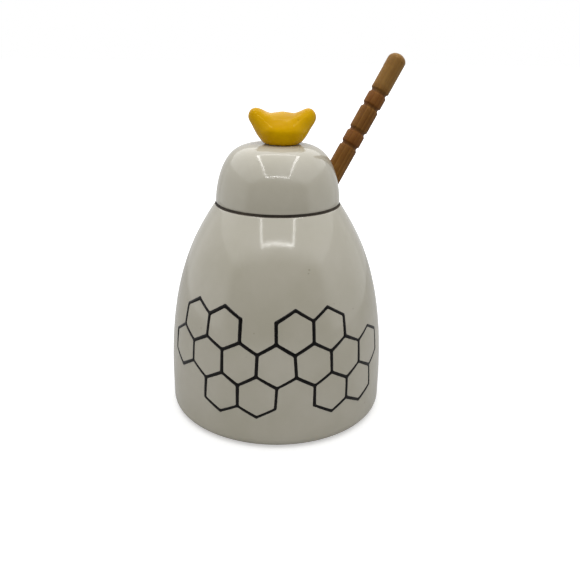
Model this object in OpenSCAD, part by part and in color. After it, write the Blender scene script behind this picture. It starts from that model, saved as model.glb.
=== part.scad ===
// Glazed honey pot with a lift-off lid, a knob and a wooden honey dipper.
// Millimetres. +Z is up, the front of the pot faces -Y, and the origin is
// the middle of the ring that the pot stands on.

/* [Pot] */
// Largest radius of the pot, low on the bell
body_r = 56; // [48:1:66]
// Height of the rim that the lid sits on
rim_h = 108; // [96:1:124]
// Outer radius of the rim
rim_r = 32.2; // [31:0.1:36]
// Width of the rim across its top
rim_w = 3.5; // [3.4:0.1:5]
// Height at which the bell is widest
belly_h = 14.5; // [10:0.5:24]
// How far the bell runs straight up before its shoulder turns in
shoulder_pull = 54; // [45:0.5:66]
// Angle from upright at which the shoulder meets the rim
shoulder_lean = 34; // [25:1:45]
// How far the shoulder holds that angle below the rim
neck_pull = 19.5; // [10:0.5:24]
// Thickness of the fired wall
wall = 4.5; // [3.5:0.1:5.5]
// Rounding of the rim's inner and outer lips
lip_round = 1.3; // [0.8:0.1:1.6]

/* [Foot] */
// Rounding from the wall to the standing ring
foot_round = 5; // [3:0.5:7]
// Width of the unglazed standing ring
foot_ring_w = 6; // [4:0.5:9]
// Depth of the hollow inside the standing ring
foot_recess = 1.8; // [1:0.1:3]
// Thickness of the floor of the pot
floor_t = 5; // [4:0.5:7]
// Rounding between the floor and the wall inside
floor_round = 8; // [6:0.5:12]

/* [Lid] */
// Height of the dome above the rim
lid_h = 29; // [24:0.5:36]
// How far the dome's edge lies inside the rim's edge
lid_inset = 1.1; // [0.4:0.1:1.2]
// Squareness of the dome's side, higher is steeper
lid_side = 4.6; // [4:0.1:7]
// Roundness of the dome's crown, lower is more domed
lid_crown = 1.6; // [1.4:0.05:1.7]
// Thickness of the dome
lid_wall = 4.5; // [3.5:0.1:5]
// Rounding of the dome's lower edge
lid_edge_round = 0.6; // [0.3:0.1:0.7]
// Height of the open joint that shows between the dome's edge and the rim
joint_h = 0.9; // [0.4:0.1:1.4]
// How far the lid's seat is set back from the dome's edge
joint_depth = 0.7; // [0.5:0.1:0.9]
// How much of the crown is ground flat under the knob
knob_seat_t = 0.15; // [0.1:0.05:0.3]
// How far the locating flange reaches into the mouth
flange_drop = 5; // [3:0.5:8]
// Thickness of the locating flange
flange_t = 3.4; // [2.5:0.1:4.5]
// Rounding of the flange's lower edges
flange_round = 1; // [0.5:0.1:1.2]

/* [Knob] */
// Height of the knob
knob_h = 16.8; // [14:0.2:22]
// Distance across the tips of the two wings
wing_span = 33.2; // [28:0.2:38]
// Radius of a wing's rounded tip
wing_tip_r = 3.5; // [2.5:0.1:4.5]
// Thickness of a wing from front to back where it leaves the body
wing_root_t = 17; // [13:0.5:19]
// How far the knob sits to the right of the lid's middle
knob_shift = 1.8; // [-2:0.1:2]
// Radius of the knob's flat foot on the lid
knob_foot_r = 8.6; // [7:0.1:9]
// Rounding from the knob's foot to its body
knob_foot_round = 1.4; // [0.8:0.1:2]
// Radius of the knob's body at its widest
knob_body_r = 12.5; // [11.5:0.1:14]
// Height of the body's widest part, the front lip of the knob
knob_lip_h = 6.4; // [5:0.2:8]
// Width of the low crown between the wings
crown_w = 13; // [10:0.5:16]
// How much lower the crown is than the wings
crown_drop = 1.6; // [0.8:0.1:2]
// How much lower the dips beside the crown are than the wings
dip_drop = 2.8; // [2.2:0.1:4]
// How far the wings and the crown sit behind the knob's middle
wing_back = 2; // [0:0.5:4]

/* [Dipper] */
// Length of the dipper from its nose to the end of its handle
dipper_len = 198; // [180:1:220]
// Diameter of the handle
handle_d = 9.6; // [8:0.1:11]
// Length of the handle's rounded end
handle_end = 3.8; // [2.5:0.1:4.5]
// Distance from the handle's end to its first groove
groove_start = 21.5; // [16:0.5:26]
// Distance between the two grooves of a pair
groove_gap = 8.05; // [6:0.05:10]
// Distance from one pair of grooves to the next
pair_pitch = 21.6; // [18:0.2:26]
// Width of a groove in the handle
groove_w = 2.4; // [1.8:0.05:3]
// Depth of a groove in the handle
groove_depth = 0.8; // [0.5:0.05:0.9]
// Largest diameter of the grooved head
head_d = 27; // [22:0.5:30]
// Length of the grooved head
head_len = 41; // [34:0.5:46]
// Number of discs on the head
discs = 8; // [6:1:9]
// Share of the head's pitch that is disc, the rest is groove
disc_share = 0.56; // [0.45:0.01:0.65]
// Radius of the wood between the discs
core_r = 5.2; // [4.5:0.1:6]
// Radius of the dipper's rounded nose
nose_r = 9; // [7:0.5:11]
// How far the dipper leans from upright, in degrees
lean = 31; // [26:0.5:34]
// Direction in which the dipper leans, turned from +X towards the back
dipper_turn = 22; // [0:1:60]

/* [Clearances] */
// Clearance between the flange and the mouth of the pot
flange_gap = 1; // [0.6:0.1:1.5]
// Clearance between the handle and the slot in the lid
slot_gap = 1; // [0.6:0.1:2]
// Clearance where the dipper rests on the lip and the floor
rest_gap = 0.3; // [0.2:0.05:0.5]

/* [Hidden] */

curve_steps = 26;
arc_steps = 8;
round_fn = 144;
knob_fn = 32;

// The pot
mouth_r = rim_r - rim_w;
inner_r = body_r - wall;
floor_z = foot_recess + floor_t;
ring_out_r = body_r - foot_round;
ring_in_r = ring_out_r - foot_ring_w;
outer_lip = [rim_r - lip_round, rim_h - lip_round];
inner_lip = [mouth_r + lip_round, rim_h - lip_round];

// The lid
lid_r = rim_r - lid_inset;
lid_top = rim_h + lid_h;
seat_r = lid_r - joint_depth;
dome_z = rim_h + joint_h + lid_edge_round;
dome_h = lid_top + knob_seat_t - dome_z;
flange_r = mouth_r - flange_gap;
flange_in_r = flange_r - flange_t;
flange_z = rim_h - flange_drop;
hollow_r = lid_r - lid_wall;
hollow_z = rim_h + flange_drop;
hollow_top = lid_top - lid_wall;

// The knob
knob_base_r = knob_foot_r + knob_foot_round;
crown_h = (knob_h - crown_drop) / 2;
root_h = (knob_h - dip_drop) / 2;

// The dipper: its axis passes through the point (rest_r, rest_z) of the plane
// that it leans in, where the handle lies on the inner lip of the rim
handle_r = handle_d / 2;
head_r = head_d / 2;
rest_z = rim_h - lip_round;
rest_r = mouth_r + lip_round - (handle_r + lip_round + rest_gap) / cos(lean);
nose_drop = (rest_z - floor_z - rest_gap - nose_r) / cos(lean) + nose_r;
slot_r = handle_r + slot_gap;
slot_len = 2 * lid_h;
groove_r = (pow(groove_w / 2, 2) + pow(groove_depth, 2)) / (2 * groove_depth);
groove_turn = asin(groove_w / 2 / groove_r);
disc_pitch = (head_len - nose_r) / (discs - 1);
disc_t = disc_pitch * disc_share;

// A point at an angle on a circle
function on_circle(r, a) = [r * cos(a), r * sin(a)];

// Points of a round stretch about a centre, from one angle to another
function arc(centre, r, from, to) =
    [for (i = [0:arc_steps]) centre + on_circle(r, from + (to - from) * i / arc_steps)];

// A point on a cubic curve with two end points and two pull points
function bezier(a, b, c, d, t) =
    pow(1 - t, 3) * a + 3 * pow(1 - t, 2) * t * b + 3 * (1 - t) * t * t * c + pow(t, 3) * d;

// The bell from a point of the belly up to a point of the neck
function bell(belly, neck) = [
    for (i = [0:curve_steps])
        bezier(belly, [belly[0], belly_h + shoulder_pull],
               neck + neck_pull * [sin(shoulder_lean), -cos(shoulder_lean)], neck,
               i / curve_steps)];

// A dome from its edge to its crown, cut flat at a height
function dome(r, z, h, crown_z) = [
    for (i = [0:curve_steps])
        let (share = cos(90 * i / curve_steps))
            [r * share, min(crown_z, z + h * pow(1 - pow(share, lid_side), 1 / lid_crown))]];

// The list of points the other way round
function reversed(points) = [for (i = [len(points) - 1:-1:0]) points[i]];

// Outline of half the pot, radius against height
function pot_outline() = concat(
    [[0, foot_recess], [ring_in_r - foot_recess, foot_recess], [ring_in_r, 0]],
    arc([ring_out_r, foot_round], foot_round, -90, 0),
    bell([body_r, belly_h], outer_lip + on_circle(lip_round, shoulder_lean)),
    arc(outer_lip, lip_round, shoulder_lean, 90),
    arc(inner_lip, lip_round, 90, 180 + shoulder_lean),
    reversed(bell([inner_r, floor_z + floor_round],
                  inner_lip + on_circle(lip_round, 180 + shoulder_lean))),
    arc([inner_r - floor_round, floor_z + floor_round], floor_round, 0, -90),
    [[0, floor_z]]);

// Outline of half the lid, radius against height
function lid_outline() = concat(
    arc([lid_r - lid_edge_round, dome_z], lid_edge_round, -90, 0),
    dome(lid_r, dome_z, dome_h, lid_top),
    [[0, hollow_top]],
    reversed([for (p = dome(hollow_r, hollow_z, hollow_top - hollow_z, hollow_top))
        if (p[0] > 0.01) p]),
    [[flange_in_r, hollow_z - (hollow_r - flange_in_r)]],
    arc([flange_in_r + flange_round, flange_z + flange_round], flange_round, 180, 270),
    arc([flange_r - flange_round, flange_z + flange_round], flange_round, 270, 360),
    [[flange_r, rim_h], [seat_r, rim_h], [seat_r, rim_h + joint_h]]);

// Radius of the head's envelope at a height above the nose, an egg shape
function head_envelope(s) =
    let (share = (s - nose_r) / (head_len - nose_r))
        nose_r + (head_r - nose_r) * sin(30 + 120 * share);

// One disc of the head with a rounded rim, its middle at a height
function disc(s) =
    let (r = head_envelope(s) - disc_t / 2)
        concat([[core_r, s - disc_t / 2]],
               arc([r, s], disc_t / 2, -90, 90),
               [[core_r, s + disc_t / 2]]);

// One round groove in the handle, its middle at a height
function groove(s) =
    arc([handle_r - groove_depth + groove_r, s], groove_r, groove_turn - 180, -groove_turn - 180);

// Outline of half the dipper, radius against height above its nose
function dipper_outline() = concat(
    [for (i = [0:arc_steps]) [nose_r, nose_r] - [nose_r, 0] + on_circle(nose_r, -90 + 75 * i / arc_steps)],
    [for (i = [1:discs - 1]) each disc(nose_r + disc_pitch * (i - 0.5))],
    [[handle_r, head_len]],
    [for (pair = [1:-1:0], edge = [1:-1:0])
        each groove(dipper_len - groove_start - pair * pair_pitch - edge * groove_gap)],
    [for (i = [0:arc_steps])
        let (a = 90 * i / arc_steps)
            [handle_r * cos(a), dipper_len - handle_end + handle_end * sin(a)]]);

// Puts a shape drawn on an upright axis onto the leaning axis of the dipper,
// with its zero where the handle lies on the lip
module on_dipper_axis() {
    rotate([0, 0, dipper_turn])
        translate([rest_r, 0, rest_z])
            rotate([0, lean, 0])
                children();
}

// The way that the handle takes through the lid, open below
module handle_slot() {
    on_dipper_axis()
        translate([0, 0, -slot_len / 4])
            linear_extrude(height = slot_len)
                union() {
                    circle(r = slot_r, $fn = 64);
                    translate([0, -slot_r])
                        square([slot_len, 2 * slot_r]);
                }
}

// A ball stretched to the radii along its three axes
module egg(radii) {
    scale(radii)
        sphere(r = 1, $fn = knob_fn);
}

// The thick end of a wing, inside the body, on the side given by 1 or -1
module wing_root(side) {
    translate([side * knob_body_r / 2, 0, root_h])
        egg([knob_body_r / 2, wing_root_t / 2, root_h]);
}

// One raised wing of the knob, on the side given by 1 or -1
module wing(side) {
    hull() {
        wing_root(side);
        translate([side * (wing_span / 2 - wing_tip_r), wing_back, knob_h - wing_tip_r])
            sphere(r = wing_tip_r, $fn = knob_fn);
    }
}

module pot_body() {
    color("#c9c6bb")
        rotate_extrude($fn = round_fn)
            polygon(pot_outline());
}

module lid() {
    color("#d2cfc4")
        difference() {
            rotate_extrude($fn = round_fn)
                polygon(lid_outline());
            handle_slot();
        }
}

module lid_knob() {
    color("#d6aa0c")
        translate([knob_shift, 0, lid_top])
            union() {
                hull() {
                    cylinder(r = knob_foot_r, h = knob_foot_round, $fn = knob_fn);
                    translate([0, 0, knob_foot_round])
                        egg([knob_base_r, knob_base_r, knob_foot_round]);
                    translate([0, 0, knob_lip_h])
                        egg([knob_body_r, knob_body_r, knob_lip_h / 2]);
                    translate([0, wing_back, crown_h])
                        egg([crown_w / 2, crown_w / 2, crown_h]);
                    wing_root(1);
                    wing_root(-1);
                }
                wing(1);
                wing(-1);
            }
}

module honey_dipper() {
    color("#a8743c")
        on_dipper_axis()
            translate([0, 0, -nose_drop])
                rotate_extrude($fn = 96)
                    polygon(dipper_outline());
}

pot_body();
lid();
lid_knob();
honey_dipper();
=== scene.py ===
"""A glazed honey pot with a lift-off lid, a winged knob and a turned wooden dipper."""

import logging
import math
import random
from contextlib import contextmanager
from dataclasses import dataclass
from enum import Enum
from typing import Callable, Iterator, Sequence

import bpy
from mathutils import Matrix, Vector


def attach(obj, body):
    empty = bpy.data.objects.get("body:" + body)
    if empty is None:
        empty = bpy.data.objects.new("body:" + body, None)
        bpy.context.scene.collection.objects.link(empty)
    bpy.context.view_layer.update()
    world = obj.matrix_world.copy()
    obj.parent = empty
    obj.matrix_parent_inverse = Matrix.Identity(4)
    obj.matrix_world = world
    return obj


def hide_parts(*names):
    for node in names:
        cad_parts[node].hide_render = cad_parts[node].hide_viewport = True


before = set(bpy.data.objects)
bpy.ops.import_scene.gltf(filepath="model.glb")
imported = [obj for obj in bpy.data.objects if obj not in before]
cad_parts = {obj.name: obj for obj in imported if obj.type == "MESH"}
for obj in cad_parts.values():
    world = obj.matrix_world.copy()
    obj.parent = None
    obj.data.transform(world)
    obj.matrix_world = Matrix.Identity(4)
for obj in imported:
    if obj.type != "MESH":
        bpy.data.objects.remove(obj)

MM = 0.001
WHITE = (1.0, 1.0, 1.0, 1.0)
log = logging.getLogger("honey_pot")

Point = tuple[float, float]
Span = tuple[float, float]
Outline = list[Point]
Colour = tuple[float, float, float, float]


# ---------------------------------------------------------------- outlines


def srgb(red: int, green: int, blue: int) -> Colour:
    """Turn a colour as a screen shows it into the shader's own linear one.

    Args:
        red: Red from 0 to 255.
        green: Green from 0 to 255.
        blue: Blue from 0 to 255.

    Returns:
        The linear colour with full alpha.
    """
    shares = [channel / 255 for channel in (red, green, blue)]
    linear = [share / 12.92 if share < 0.04 else ((share + 0.055) / 1.055) ** 2.4 for share in shares]
    return (*linear, 1.0)


def on_circle(centre: Point, radius: float, angle: float) -> Point:
    """The point of a circle at an angle in radians."""
    return (centre[0] + radius * math.cos(angle), centre[1] + radius * math.sin(angle))


def arc(centre: Point, radius: float, start: float, end: float, steps: int = 8) -> Outline:
    """Points of a round stretch.

    Args:
        centre: Middle of the circle.
        radius: Its radius.
        start: First angle in degrees.
        end: Last angle in degrees.
        steps: Number of straight steps.

    Returns:
        The points from the first angle to the last.
    """
    angles = [math.radians(start + (end - start) * i / steps) for i in range(steps + 1)]
    return [on_circle(centre, radius, angle) for angle in angles]


def bezier(a: Point, b: Point, c: Point, d: Point, steps: int = 40) -> Outline:
    """Points of a cubic curve.

    Args:
        a: Start of the curve.
        b: Point that pulls the start.
        c: Point that pulls the end.
        d: End of the curve.
        steps: Number of straight steps.

    Returns:
        The points from the start to the end.
    """
    points = []
    for i in range(steps + 1):
        t = i / steps
        weights = ((1 - t) ** 3, 3 * (1 - t) ** 2 * t, 3 * (1 - t) * t * t, t**3)
        points.append(tuple(sum(w * p[k] for w, p in zip(weights, (a, b, c, d))) for k in (0, 1)))
    return points


def refined(outline: Sequence[Point], longest: float) -> Outline:
    """Split the long stretches of an outline and leave out doubled points.

    Args:
        outline: Points of the outline.
        longest: Longest step that stays whole.

    Returns:
        The same outline with steps of at most that length.
    """
    points = [outline[0]]
    for end in outline[1:]:
        start = points[-1]
        length = math.dist(start, end)
        if length < 0.01 * MM:
            continue
        count = math.ceil(length / longest)
        for i in range(1, count + 1):
            points.append(tuple(start[k] + (end[k] - start[k]) * i / count for k in (0, 1)))
    return points


# ------------------------------------------------------- modelling helpers


def start_fresh(chosen: bpy.types.Object | None = None) -> None:
    """Drop every selection, then choose one object, if it is given."""
    bpy.ops.object.select_all(action="DESELECT")
    if chosen:
        chosen.select_set(True)
        bpy.context.view_layer.objects.active = chosen


@contextmanager
def editing(
    piece: bpy.types.Object, picked: Callable[[Vector], bool] = lambda place: True
) -> Iterator[None]:
    """Open a piece in edit mode for the lines inside.

    Args:
        piece: The piece to edit.
        picked: Says whether the points at a place are selected. Without it, all are.
    """
    start_fresh(piece)
    for part in (*piece.data.polygons, *piece.data.edges):
        part.select = False
    for vertex in piece.data.vertices:
        vertex.select = picked(vertex.co)
    bpy.ops.object.mode_set(mode="EDIT")
    bpy.ops.mesh.select_mode(type="VERT")
    yield
    bpy.ops.object.mode_set(mode="OBJECT")


def named(name: str) -> bpy.types.Object:
    """Give the piece just added its name and return it."""
    piece = bpy.context.object
    piece.name = name
    piece.data.name = name
    return piece


def settle(piece: bpy.types.Object) -> None:
    """Put a piece's place, turn and scale into its mesh."""
    start_fresh(piece)
    bpy.ops.object.transform_apply(location=True, rotation=True, scale=True)


def shape_with(piece: bpy.types.Object, kind: str, **settings: object) -> None:
    """Add a modifier to a piece and apply it at once.

    Args:
        piece: The piece to shape.
        kind: The modifier's type.
        **settings: Its settings by name.
    """
    start_fresh(piece)
    modifier = piece.modifiers.new(kind.title(), kind)
    for name, value in settings.items():
        setattr(modifier, name, value)
    bpy.ops.object.modifier_apply(modifier=modifier.name)


def join(pieces: Sequence[bpy.types.Object], name: str) -> bpy.types.Object:
    """Join several pieces into one.

    Args:
        pieces: The pieces, of which the first takes in the rest.
        name: Name of the joined piece.

    Returns:
        The joined piece.
    """
    start_fresh(pieces[0])
    for piece in pieces:
        piece.select_set(True)
    bpy.ops.object.join()
    joined = named(name)
    settle(joined)
    return joined


def hull(pieces: Sequence[bpy.types.Object], name: str) -> bpy.types.Object:
    """Stretch one skin around several pieces.

    Args:
        pieces: The pieces that the skin takes the place of.
        name: Name of the skin.

    Returns:
        The skin, a closed convex form.
    """
    skin = join(pieces, name)
    with editing(skin):
        bpy.ops.mesh.convex_hull(use_existing_faces=False)
    return skin


def melt(piece: bpy.types.Object, grain: float, passes: int) -> None:
    """Melt joined shapes into one closed skin and soften where they meet.

    Args:
        piece: The joined shapes.
        grain: Size of the skin's facets.
        passes: How often the skin is softened.
    """
    shape_with(piece, "REMESH", mode="VOXEL", voxel_size=grain, use_smooth_shade=True)
    shape_with(piece, "SMOOTH", factor=0.5, iterations=passes)


def soften_edges(piece: bpy.types.Object, width: float, steps: int, angle: float) -> None:
    """Round off the sharp edges of a piece.

    Args:
        piece: The piece.
        width: Width of the rounding.
        steps: Number of steps across it.
        angle: Edges sharper than this many degrees are rounded.
    """
    limit = {"limit_method": "ANGLE", "angle_limit": math.radians(angle)}
    shape_with(piece, "BEVEL", width=width, segments=steps, **limit)


def tidy_mesh(piece: bpy.types.Object, distance: float = 0.002 * MM) -> None:
    """Merge doubled points of a piece and turn all its faces outwards.

    Args:
        piece: The piece to tidy.
        distance: Points closer than this become one.
    """
    with editing(piece):
        bpy.ops.mesh.remove_doubles(threshold=distance)
        bpy.ops.mesh.normals_make_consistent(inside=False)


def smooth(piece: bpy.types.Object, angle: float = 40.0) -> None:
    """Shade a piece smooth, with edges sharper than an angle in degrees left crisp."""
    start_fresh(piece)
    bpy.ops.object.shade_smooth_by_angle(angle=math.radians(angle))


def lathe(name: str, outline: Sequence[Point], steps: int) -> bpy.types.Object:
    """Turn half an outline about the upright axis, as clay or wood is turned.

    Args:
        name: Name of the new piece.
        outline: Radius and height of each point, from the axis back to the axis.
        steps: Number of steps in the full turn.

    Returns:
        A closed round piece.
    """
    start_fresh()
    bpy.ops.mesh.primitive_plane_add(size=MM, location=(outline[0][0], 0, outline[0][1]))
    piece = named(name)
    with editing(piece):
        bpy.ops.mesh.merge(type="CENTER")
        for start, end in zip(outline, outline[1:]):
            move = (end[0] - start[0], 0, end[1] - start[1])
            bpy.ops.mesh.extrude_vertices_move(TRANSFORM_OT_translate={"value": move})
        bpy.ops.mesh.select_all(action="SELECT")
        bpy.ops.mesh.spin(steps=steps, angle=math.tau, center=(0, 0, 0), axis=(0, 0, 1))
    settle(piece)
    tidy_mesh(piece)
    return piece


def loosen(piece: bpy.types.Object, depth: float, grain: float, name: str) -> None:
    """Sink a piece's surface a little here and there, as slip-cast ware comes from its mould.

    Args:
        piece: The piece to make uneven.
        depth: Deepest place.
        grain: Distance from one place to the next.
        name: Name of the noise that drives it.
    """
    noise = bpy.data.textures.new(name, "CLOUDS")
    noise.noise_scale = grain
    noise.noise_depth = 1
    shape_with(piece, "DISPLACE", texture=noise, strength=depth, mid_level=1.0, texture_coords="LOCAL")


# --------------------------------------------------------- shader workbench


class Bench:
    """A node tree with short calls for placing and joining its nodes."""

    def __init__(self, tree: bpy.types.NodeTree) -> None:
        """Take the tree to work on."""
        self.tree = tree

    def feed(self, node: bpy.types.Node, inputs: dict) -> bpy.types.Node:
        """Set or join some of a node's inputs.

        Args:
            node: The node.
            inputs: Values or sockets for its inputs, by name or number.

        Returns:
            The same node.
        """
        for key, value in inputs.items():
            if isinstance(value, bpy.types.NodeSocket):
                self.tree.links.new(value, node.inputs[key])
            else:
                node.inputs[key].default_value = value
        return node

    def add(self, kind: str, inputs: dict | None = None, **settings: object) -> bpy.types.Node:
        """Place a node.

        Args:
            kind: The node's type without its ShaderNode prefix.
            inputs: Values or sockets for its inputs, by name or number.
            **settings: Its settings by name.

        Returns:
            The new node.
        """
        node = self.tree.nodes.new("ShaderNode" + kind)
        for name, value in settings.items():
            setattr(node, name, value)
        return self.feed(node, inputs or {})

    def group(self, effect: bpy.types.NodeTree, inputs: dict) -> bpy.types.Node:
        """Place a shared effect with its own values.

        Args:
            effect: The node group.
            inputs: Values or sockets for its inputs, by name.

        Returns:
            The new node.
        """
        return self.add("Group", inputs, node_tree=effect)

    def noise(
        self, where: bpy.types.NodeSocket, scale: object, detail: float, roughness: float = 0.5
    ) -> bpy.types.NodeSocket:
        """Lay noise over a place and return its socket."""
        inputs = {"Vector": where, "Scale": scale, "Detail": detail, "Roughness": roughness}
        return self.add("TexNoise", inputs).outputs[0]

    def bump(
        self, height: bpy.types.NodeSocket, strength: float, depth: float
    ) -> bpy.types.NodeSocket:
        """Turn a height into the normal of an uneven surface and return its socket."""
        inputs = {"Strength": strength, "Distance": depth, "Height": height}
        return self.add("Bump", inputs).outputs[0]

    def blend(self, share: object, low: object, high: object) -> bpy.types.NodeSocket:
        """Mix two colours by a share and return the socket that has the result."""
        node = self.add("Mix", {0: share, 6: low, 7: high}, data_type="RGBA")
        return node.outputs[2]

    def sums(self, operation: str, first: object, second: object = 0.0) -> bpy.types.NodeSocket:
        """Work out one number from two and return the socket that has it."""
        return self.add("Math", {0: first, 1: second}, operation=operation).outputs[0]

    def spread(
        self, value: object, low: float, high: float, to_low: float = 0.0, to_high: float = 1.0
    ) -> bpy.types.NodeSocket:
        """Stretch a value from one range to another, held inside it, and return its socket."""
        inputs = {0: value, 1: low, 2: high, 3: to_low, 4: to_high}
        return self.add("MapRange", inputs, clamp=True).outputs[0]


def new_effect(
    name: str, takes: dict[str, str], gives: dict[str, str]
) -> tuple[Bench, bpy.types.Node, bpy.types.Node]:
    """Start a shared effect.

    Args:
        name: Name of the node group.
        takes: Type of each input by name: Float, Vector or Color.
        gives: Type of each output by name.

    Returns:
        The bench, the node that has the inputs and the node that takes the outputs.
    """
    tree = bpy.data.node_groups.new(name, "ShaderNodeTree")
    for direction, sockets in (("INPUT", takes), ("OUTPUT", gives)):
        for socket, kind in sockets.items():
            tree.interface.new_socket(name=socket, in_out=direction, socket_type="NodeSocket" + kind)
    return Bench(tree), tree.nodes.new("NodeGroupInput"), tree.nodes.new("NodeGroupOutput")


def new_material(name: str) -> tuple[bpy.types.Material, Bench, bpy.types.Node]:
    """Start a material.

    Args:
        name: Its name.

    Returns:
        The material, its bench and its shader.
    """
    made = bpy.data.materials.new(name)
    made.use_nodes = True
    return made, Bench(made.node_tree), made.node_tree.nodes["Principled BSDF"]


class Effects:
    """The effects that several finishes share, each built once.

    A pair of numbers is a stretch of noise, or the stretch that it turns into.
    """

    pooled: Span = (0.36, 0.64)
    wave_scale: float = 42.0
    peel_scale: float = 620.0
    gloss_scale: float = 95.0
    gloss_patch: Span = (0.3, 0.7)
    gloss_swing: Span = (0.75, 1.35)
    iron_scale: float = 160.0
    iron_patch: Span = (0.62, 0.68)
    ring_stretch: float = 0.06
    warp_scale: float = 240.0
    warp_reach: float = 2.2 * MM
    pore_stretch: float = 0.035
    pore_scale: float = 3600.0
    pore_open: Span = (0.56, 0.7)
    pore_share: float = 0.55

    def __init__(self) -> None:
        """Build the effects."""
        self.mottle = self._mottle()
        self.glaze_skin = self._glaze_skin()
        self.specks = self._specks()
        self.wood_grain = self._wood_grain()

    def _mottle(self) -> bpy.types.NodeTree:
        """Soft patches of two colours, as a glaze pools and thins."""
        takes = {"Vector": "Vector", "Scale": "Float", "Low": "Color", "High": "Color"}
        bench, taken, given = new_effect("mottle", takes, {"Color": "Color"})
        where, scale = taken.outputs["Vector"], taken.outputs["Scale"]
        mask = bench.spread(bench.noise(where, scale, detail=5.0, roughness=0.55), *self.pooled)
        colour = bench.blend(mask, taken.outputs["Low"], taken.outputs["High"])
        bench.feed(given, {"Color": colour})
        return bench.tree

    def _glaze_skin(self) -> bpy.types.NodeTree:
        """The slow waves and fine orange peel of a fired glaze, and how its gloss varies."""
        takes = {"Vector": "Vector", "Wave": "Float", "Peel": "Float", "Gloss": "Float"}
        bench, taken, given = new_effect("glaze_skin", takes, {"Height": "Float", "Roughness": "Float"})
        where = taken.outputs["Vector"]
        slow = bench.noise(where, self.wave_scale, detail=1.0)
        fine = bench.noise(where, self.peel_scale, detail=2.0)
        waves = bench.sums("MULTIPLY", slow, taken.outputs["Wave"])
        peel = bench.sums("MULTIPLY", fine, taken.outputs["Peel"])
        patches = bench.noise(where, self.gloss_scale, detail=3.0)
        share = bench.spread(patches, *self.gloss_patch, *self.gloss_swing)
        gloss = bench.sums("MULTIPLY", share, taken.outputs["Gloss"])
        bench.feed(given, {"Height": bench.sums("ADD", waves, peel), "Roughness": gloss})
        return bench.tree

    def _specks(self) -> bpy.types.NodeTree:
        """Sparse small specks, as iron in the clay shows through a glaze."""
        takes = {"Vector": "Vector", "Scale": "Float", "Size": "Float"}
        bench, taken, given = new_effect("specks", takes, {"Mask": "Float"})
        where = taken.outputs["Vector"]
        cells = bench.add("TexVoronoi", {"Vector": where, "Scale": taken.outputs["Scale"]})
        few = bench.spread(bench.noise(where, self.iron_scale, detail=1.0), *self.iron_patch)
        dot = bench.sums("LESS_THAN", cells.outputs["Distance"], taken.outputs["Size"])
        bench.feed(given, {"Mask": bench.sums("MULTIPLY", few, dot)})
        return bench.tree

    def _wood_grain(self) -> bpy.types.NodeTree:
        """Grain that runs along the piece's own upright axis: growth rings, streaks and pores."""
        takes = {"Vector": "Vector", "Rings": "Float", "Late": "Color", "Early": "Color"}
        gives = {"Color": "Color", "Height": "Float", "Streak": "Float"}
        bench, taken, given = new_effect("wood_grain", takes, gives)
        where, late = taken.outputs["Vector"], taken.outputs["Late"]
        stretch = {"Vector": where, "Scale": (1.0, 1.0, self.ring_stretch)}
        long = bench.add("Mapping", stretch).outputs[0]
        warp = bench.add("TexNoise", {"Vector": long, "Scale": self.warp_scale, "Detail": 3.0})
        reach = {0: warp.outputs["Color"], 1: (self.warp_reach, self.warp_reach, 0.0)}
        bent = bench.add("VectorMath", reach, operation="MULTIPLY").outputs[0]
        place = bench.add("VectorMath", {0: long, 1: bent}, operation="ADD").outputs[0]
        rings = bench.add(
            "TexWave",
            {"Vector": place, "Scale": taken.outputs["Rings"], "Distortion": 5.0, "Detail": 2.0},
            wave_type="BANDS",
            bands_direction="X",
            wave_profile="SAW",
        )
        stretch = {"Vector": where, "Scale": (1.0, 1.0, self.pore_stretch)}
        pores = bench.noise(bench.add("Mapping", stretch).outputs[0], self.pore_scale, detail=2.0)
        pore = bench.spread(pores, *self.pore_open)
        tone = bench.blend(rings.outputs[0], taken.outputs["Early"], late)
        colour = bench.blend(bench.sums("MULTIPLY", pore, self.pore_share), tone, late)
        sunk = bench.sums("MULTIPLY", pore, -1.0)
        bench.feed(given, {"Color": colour, "Height": sunk, "Streak": pore})
        return bench.tree


# ------------------------------------------------------------------ finishes


@dataclass(frozen=True)
class WipedBand:
    """A level stretch of a piece from which the glaze is wiped before firing."""

    low: float
    high: float
    clay: Colour = srgb(206, 190, 166)
    grit: Colour = srgb(186, 168, 143)
    patch: float = 900.0
    wander: float = 0.3 * MM
    edge_scale: float = 130.0
    edge_swing: Span = (0.3, 0.7)

    def mask(self, bench: Bench, where: bpy.types.NodeSocket) -> bpy.types.NodeSocket:
        """Where the clay is bare, along hand-wiped edges.

        Args:
            bench: The material's bench.
            where: The socket that has the place.

        Returns:
            The socket with 1 on bare clay.
        """
        height = bench.add("SeparateXYZ", {0: where}).outputs[2]
        wobble = bench.noise(where, self.edge_scale, detail=3.0)
        shift = bench.spread(wobble, *self.edge_swing, -self.wander, self.wander)
        shifted = bench.sums("ADD", height, shift)
        above = bench.sums("GREATER_THAN", shifted, self.low)
        return bench.sums("MULTIPLY", above, bench.sums("LESS_THAN", shifted, self.high))


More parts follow.
